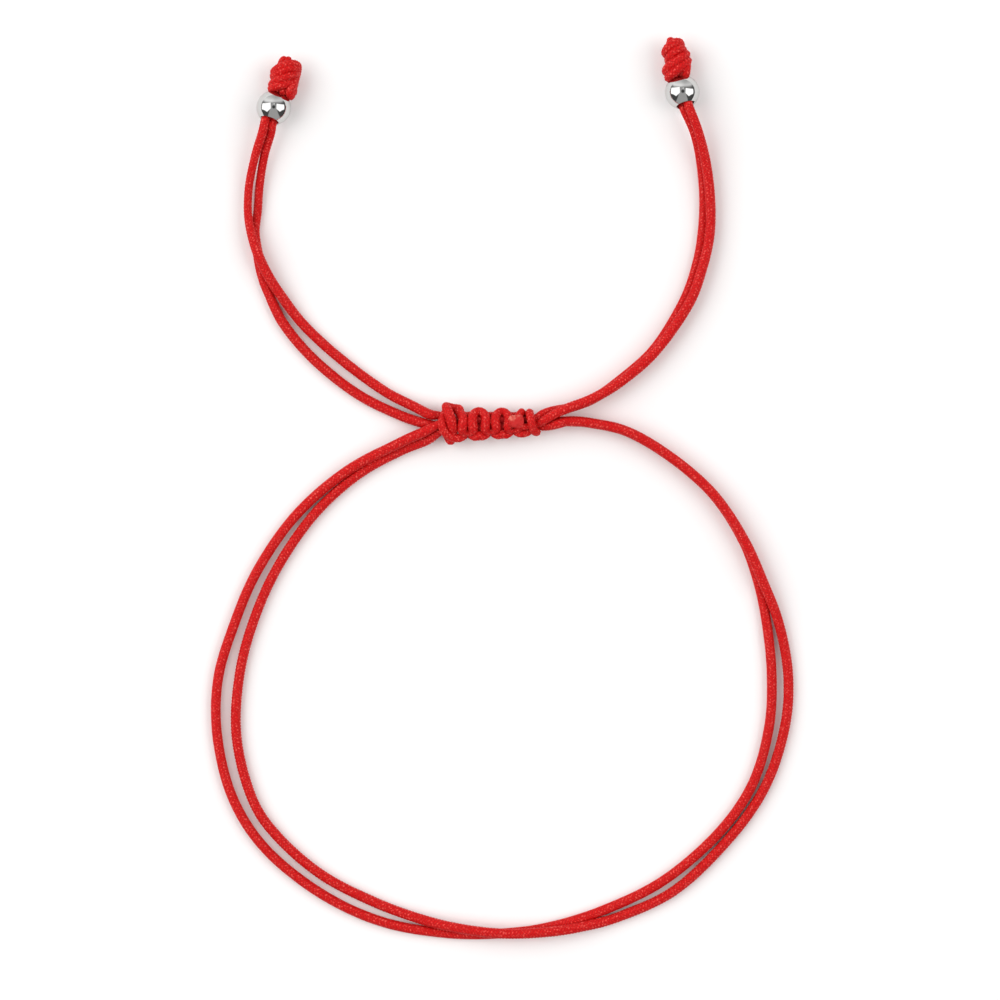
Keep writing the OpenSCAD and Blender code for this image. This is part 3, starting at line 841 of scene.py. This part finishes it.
# x, y and height from the middle of the bead, half the distance between the strands, and radius
stopperCourses = {
    "end_knot_left": [
        [0.62, 1.95, 0.28, 0.42, 0.55],
        [0.95, 2.5, 0.12, 0.42, 0.53],
        [1.5, 2.75, -1.0, 0.22, 0.42],
        [2.0, 2.2, -0.8, 0.21, 0.44],
        [2.15, 1.7, -0.3, 0.21, 0.46],
        [2.0, 1.5, 0.3, 0.21, 0.5],
        [2.02, 1.95, 0.72, 0.23, 0.52],
        [2.3, 2.6, 0.55, 0.21, 0.5],
        [2.48, 3.3, -0.25, 0.21, 0.46],
        [2.62, 4.0, -0.65, 0.21, 0.46],
        [2.7, 4.42, -0.15, 0.21, 0.47],
        [2.6, 4.62, 0.45, 0.22, 0.49],
        [2.25, 4.72, 0.95, 0.24, 0.5],
        [1.6, 4.62, 1.2, 0.25, 0.51],
        [0.8, 4.28, 1.15, 0.25, 0.51],
        [0.25, 4.0, 0.7, 0.24, 0.5],
        [0.02, 3.85, 0.05, 0.21, 0.47],
        [0.25, 3.6, -0.8, 0.3, 0.44],
        [1.0, 3.5, -1.2, 0.3, 0.44],
        [1.9, 3.6, -1.1, 0.3, 0.44],
        [2.4, 3.65, -0.6, 0.3, 0.45],
        [2.5, 3.55, 0.0, 0.36, 0.46],
        [2.2, 3.35, 0.75, 0.40, 0.48],
        [1.5, 3.05, 1.2, 0.40, 0.5],
        [0.65, 2.8, 1.2, 0.32, 0.52],
        [0.05, 2.55, 0.8, 0.26, 0.51],
        [-0.22, 2.4, 0.2, 0.22, 0.48],
        [0.0, 2.3, -0.6, 0.3, 0.42],
        [0.6, 2.7, -1.0, 0.3, 0.42],
        [0.78, 3.4, -0.1, 0.25, 0.5],
        [0.6, 4.2, 0.05, 0.24, 0.5],
        [0.85, 4.8, 0.4, 0.24, 0.48],
        [1.2, 5.15, 0.65, 0.25, 0.46],
        [1.42, 5.5, 0.7, 0.26, 0.42],
        [1.46, 5.86, 0.65, 0.27, 0.38],
    ],
    "end_knot_right": [
        [-0.5, 1.95, 0.22, 0.42, 0.55],
        [-0.6, 2.5, 0.05, 0.42, 0.53],
        [-0.3, 3.0, -1.05, 0.22, 0.42],
        [0.15, 2.5, -0.85, 0.21, 0.44],
        [0.35, 2.05, -0.35, 0.21, 0.46],
        [0.3, 1.95, 0.3, 0.21, 0.5],
        [0.25, 2.5, 0.75, 0.23, 0.52],
        [0.4, 3.1, 0.3, 0.21, 0.5],
        [0.1, 4.2, -0.75, 0.26, 0.44],
        [0.0, 4.9, -0.55, 0.3, 0.46],
        [-0.08, 5.15, 0.1, 0.38, 0.52],
        [-0.42, 5.26, 0.75, 0.40, 0.56],
        [-0.85, 5.1, 1.08, 0.40, 0.58],
        [-1.3, 4.75, 1.02, 0.41, 0.57],
        [-1.62, 4.35, 0.6, 0.43, 0.54],
        [-1.74, 4.05, -0.05, 0.45, 0.5],
        [-1.5, 3.85, -0.95, 0.4, 0.44],
        [-0.8, 3.8, -1.2, 0.3, 0.44],
        [0.0, 3.9, -1.0, 0.35, 0.44],
        [0.46, 3.95, -0.3, 0.38, 0.5],
        [0.48, 3.92, 0.35, 0.38, 0.54],
        [0.22, 3.68, 0.85, 0.40, 0.57],
        [-0.3, 3.28, 1.15, 0.40, 0.59],
        [-0.88, 2.85, 1.2, 0.40, 0.59],
        [-1.35, 2.46, 1.0, 0.40, 0.57],
        [-1.65, 2.14, 0.5, 0.40, 0.53],
        [-1.72, 1.95, -0.05, 0.38, 0.48],
        [-1.45, 1.95, -0.65, 0.35, 0.42],
        [-0.95, 2.6, -0.9, 0.28, 0.42],
        [-1.0, 3.4, -0.1, 0.25, 0.5],
        [-1.25, 4.3, 0.0, 0.21, 0.46],
        [-1.25, 5.0, 0.3, 0.2, 0.5],
        [-1.15, 5.6, 0.55, 0.2, 0.52],
        [-1.0, 6.2, 0.5, 0.2, 0.46],
    ],
}


def stopperRoutes(name):
    bead = stopper["beads"][name]
    beadMiddle = np.array(beads[bead]["middle"])
    course = stopperCourses[name]
    middles = np.array([row[:3] for row in course]) + beadMiddle
    along = np.gradient(middles, axis=0)
    along /= np.linalg.norm(along, axis=1)[:, None]
    # in the turns one strand lies above the other along the knot, and at the ends beside it
    lean = math.radians(beads[bead]["lean"])
    wayUp = np.array([math.sin(lean), math.cos(lean), 0])
    sideBySide = np.array([1, 0, 0])
    side = roundAxis(bead, 0, 0, 1) - beadMiddle
    sides = []
    for i, t in enumerate(along):
        if i < stopper["startRows"]:
            wanted = side
        elif i < len(course) - stopper["endRows"]:
            wanted = wayUp
        else:
            wanted = sideBySide
        wanted = wanted - (wanted @ t) * t
        wanted = wanted if wanted @ side > 0 else -wanted
        side = side + stopper["pull"] * wanted
        side -= (side @ t) * t
        side /= np.linalg.norm(side)
        sides.append(side)
    inBead, fromAxis, radius = stopper["inBead"]
    routes = []
    for sign, turn in zip((1, -1), stopper["turnsInBead"]):
        rows = [[*roundAxis(bead, inBead, turn, fromAxis), radius]]
        for middle, side, row in zip(middles, sides, course):
            rows.append([*(middle + sign * row[3] * side), row[4]])
        routes.append(rows)
    return routes


for name in stopperCourses:
    strands = [tubeData(route, stopper["sides"], stopper["ringGap"], roundEnd=stopper["roundEnd"],
                        seed=stopper["seed"] + i)
               for i, route in enumerate(stopperRoutes(name))]
    knot = makeTube(name + "_braid", strands)
    knot.data.materials.append(cordMaterial)
    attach(knot, "root")
    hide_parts(name)
    print(name, "made,", len(knot.data.polygons), "faces")


# Beads
steel = {
    "colour": (0.61, 0.605, 0.595, 1),
    "metallic": 1,
    "roughness": (0.03, 0.09),
    "smudgeScale": 900,
    "smudgeDetail": 5,
    "smudgeFrom": (0.35, 0.7),
}


def steelMaterial():
    material, shader = newMaterial("polished_steel")
    add = nodeTools(material.node_tree)[0]
    smudges = add("TexNoise", {"Vector": add("TexCoord").outputs["Object"],
                               "Scale": steel["smudgeScale"],
                               "Detail": steel["smudgeDetail"]})
    gloss = add("MapRange", {"Value": smudges.outputs["Fac"],
                             "From Min": steel["smudgeFrom"][0],
                             "From Max": steel["smudgeFrom"][1],
                             "To Min": steel["roughness"][0],
                             "To Max": steel["roughness"][1]})
    fill(shader, {"Base Color": steel["colour"],
                  "Metallic": steel["metallic"],
                  "Roughness": gloss.outputs["Result"]})
    return material


beadMaterial = steelMaterial()
for name in beads:
    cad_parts[name].data.materials.clear()
    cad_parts[name].data.materials.append(beadMaterial)
print("beads done")
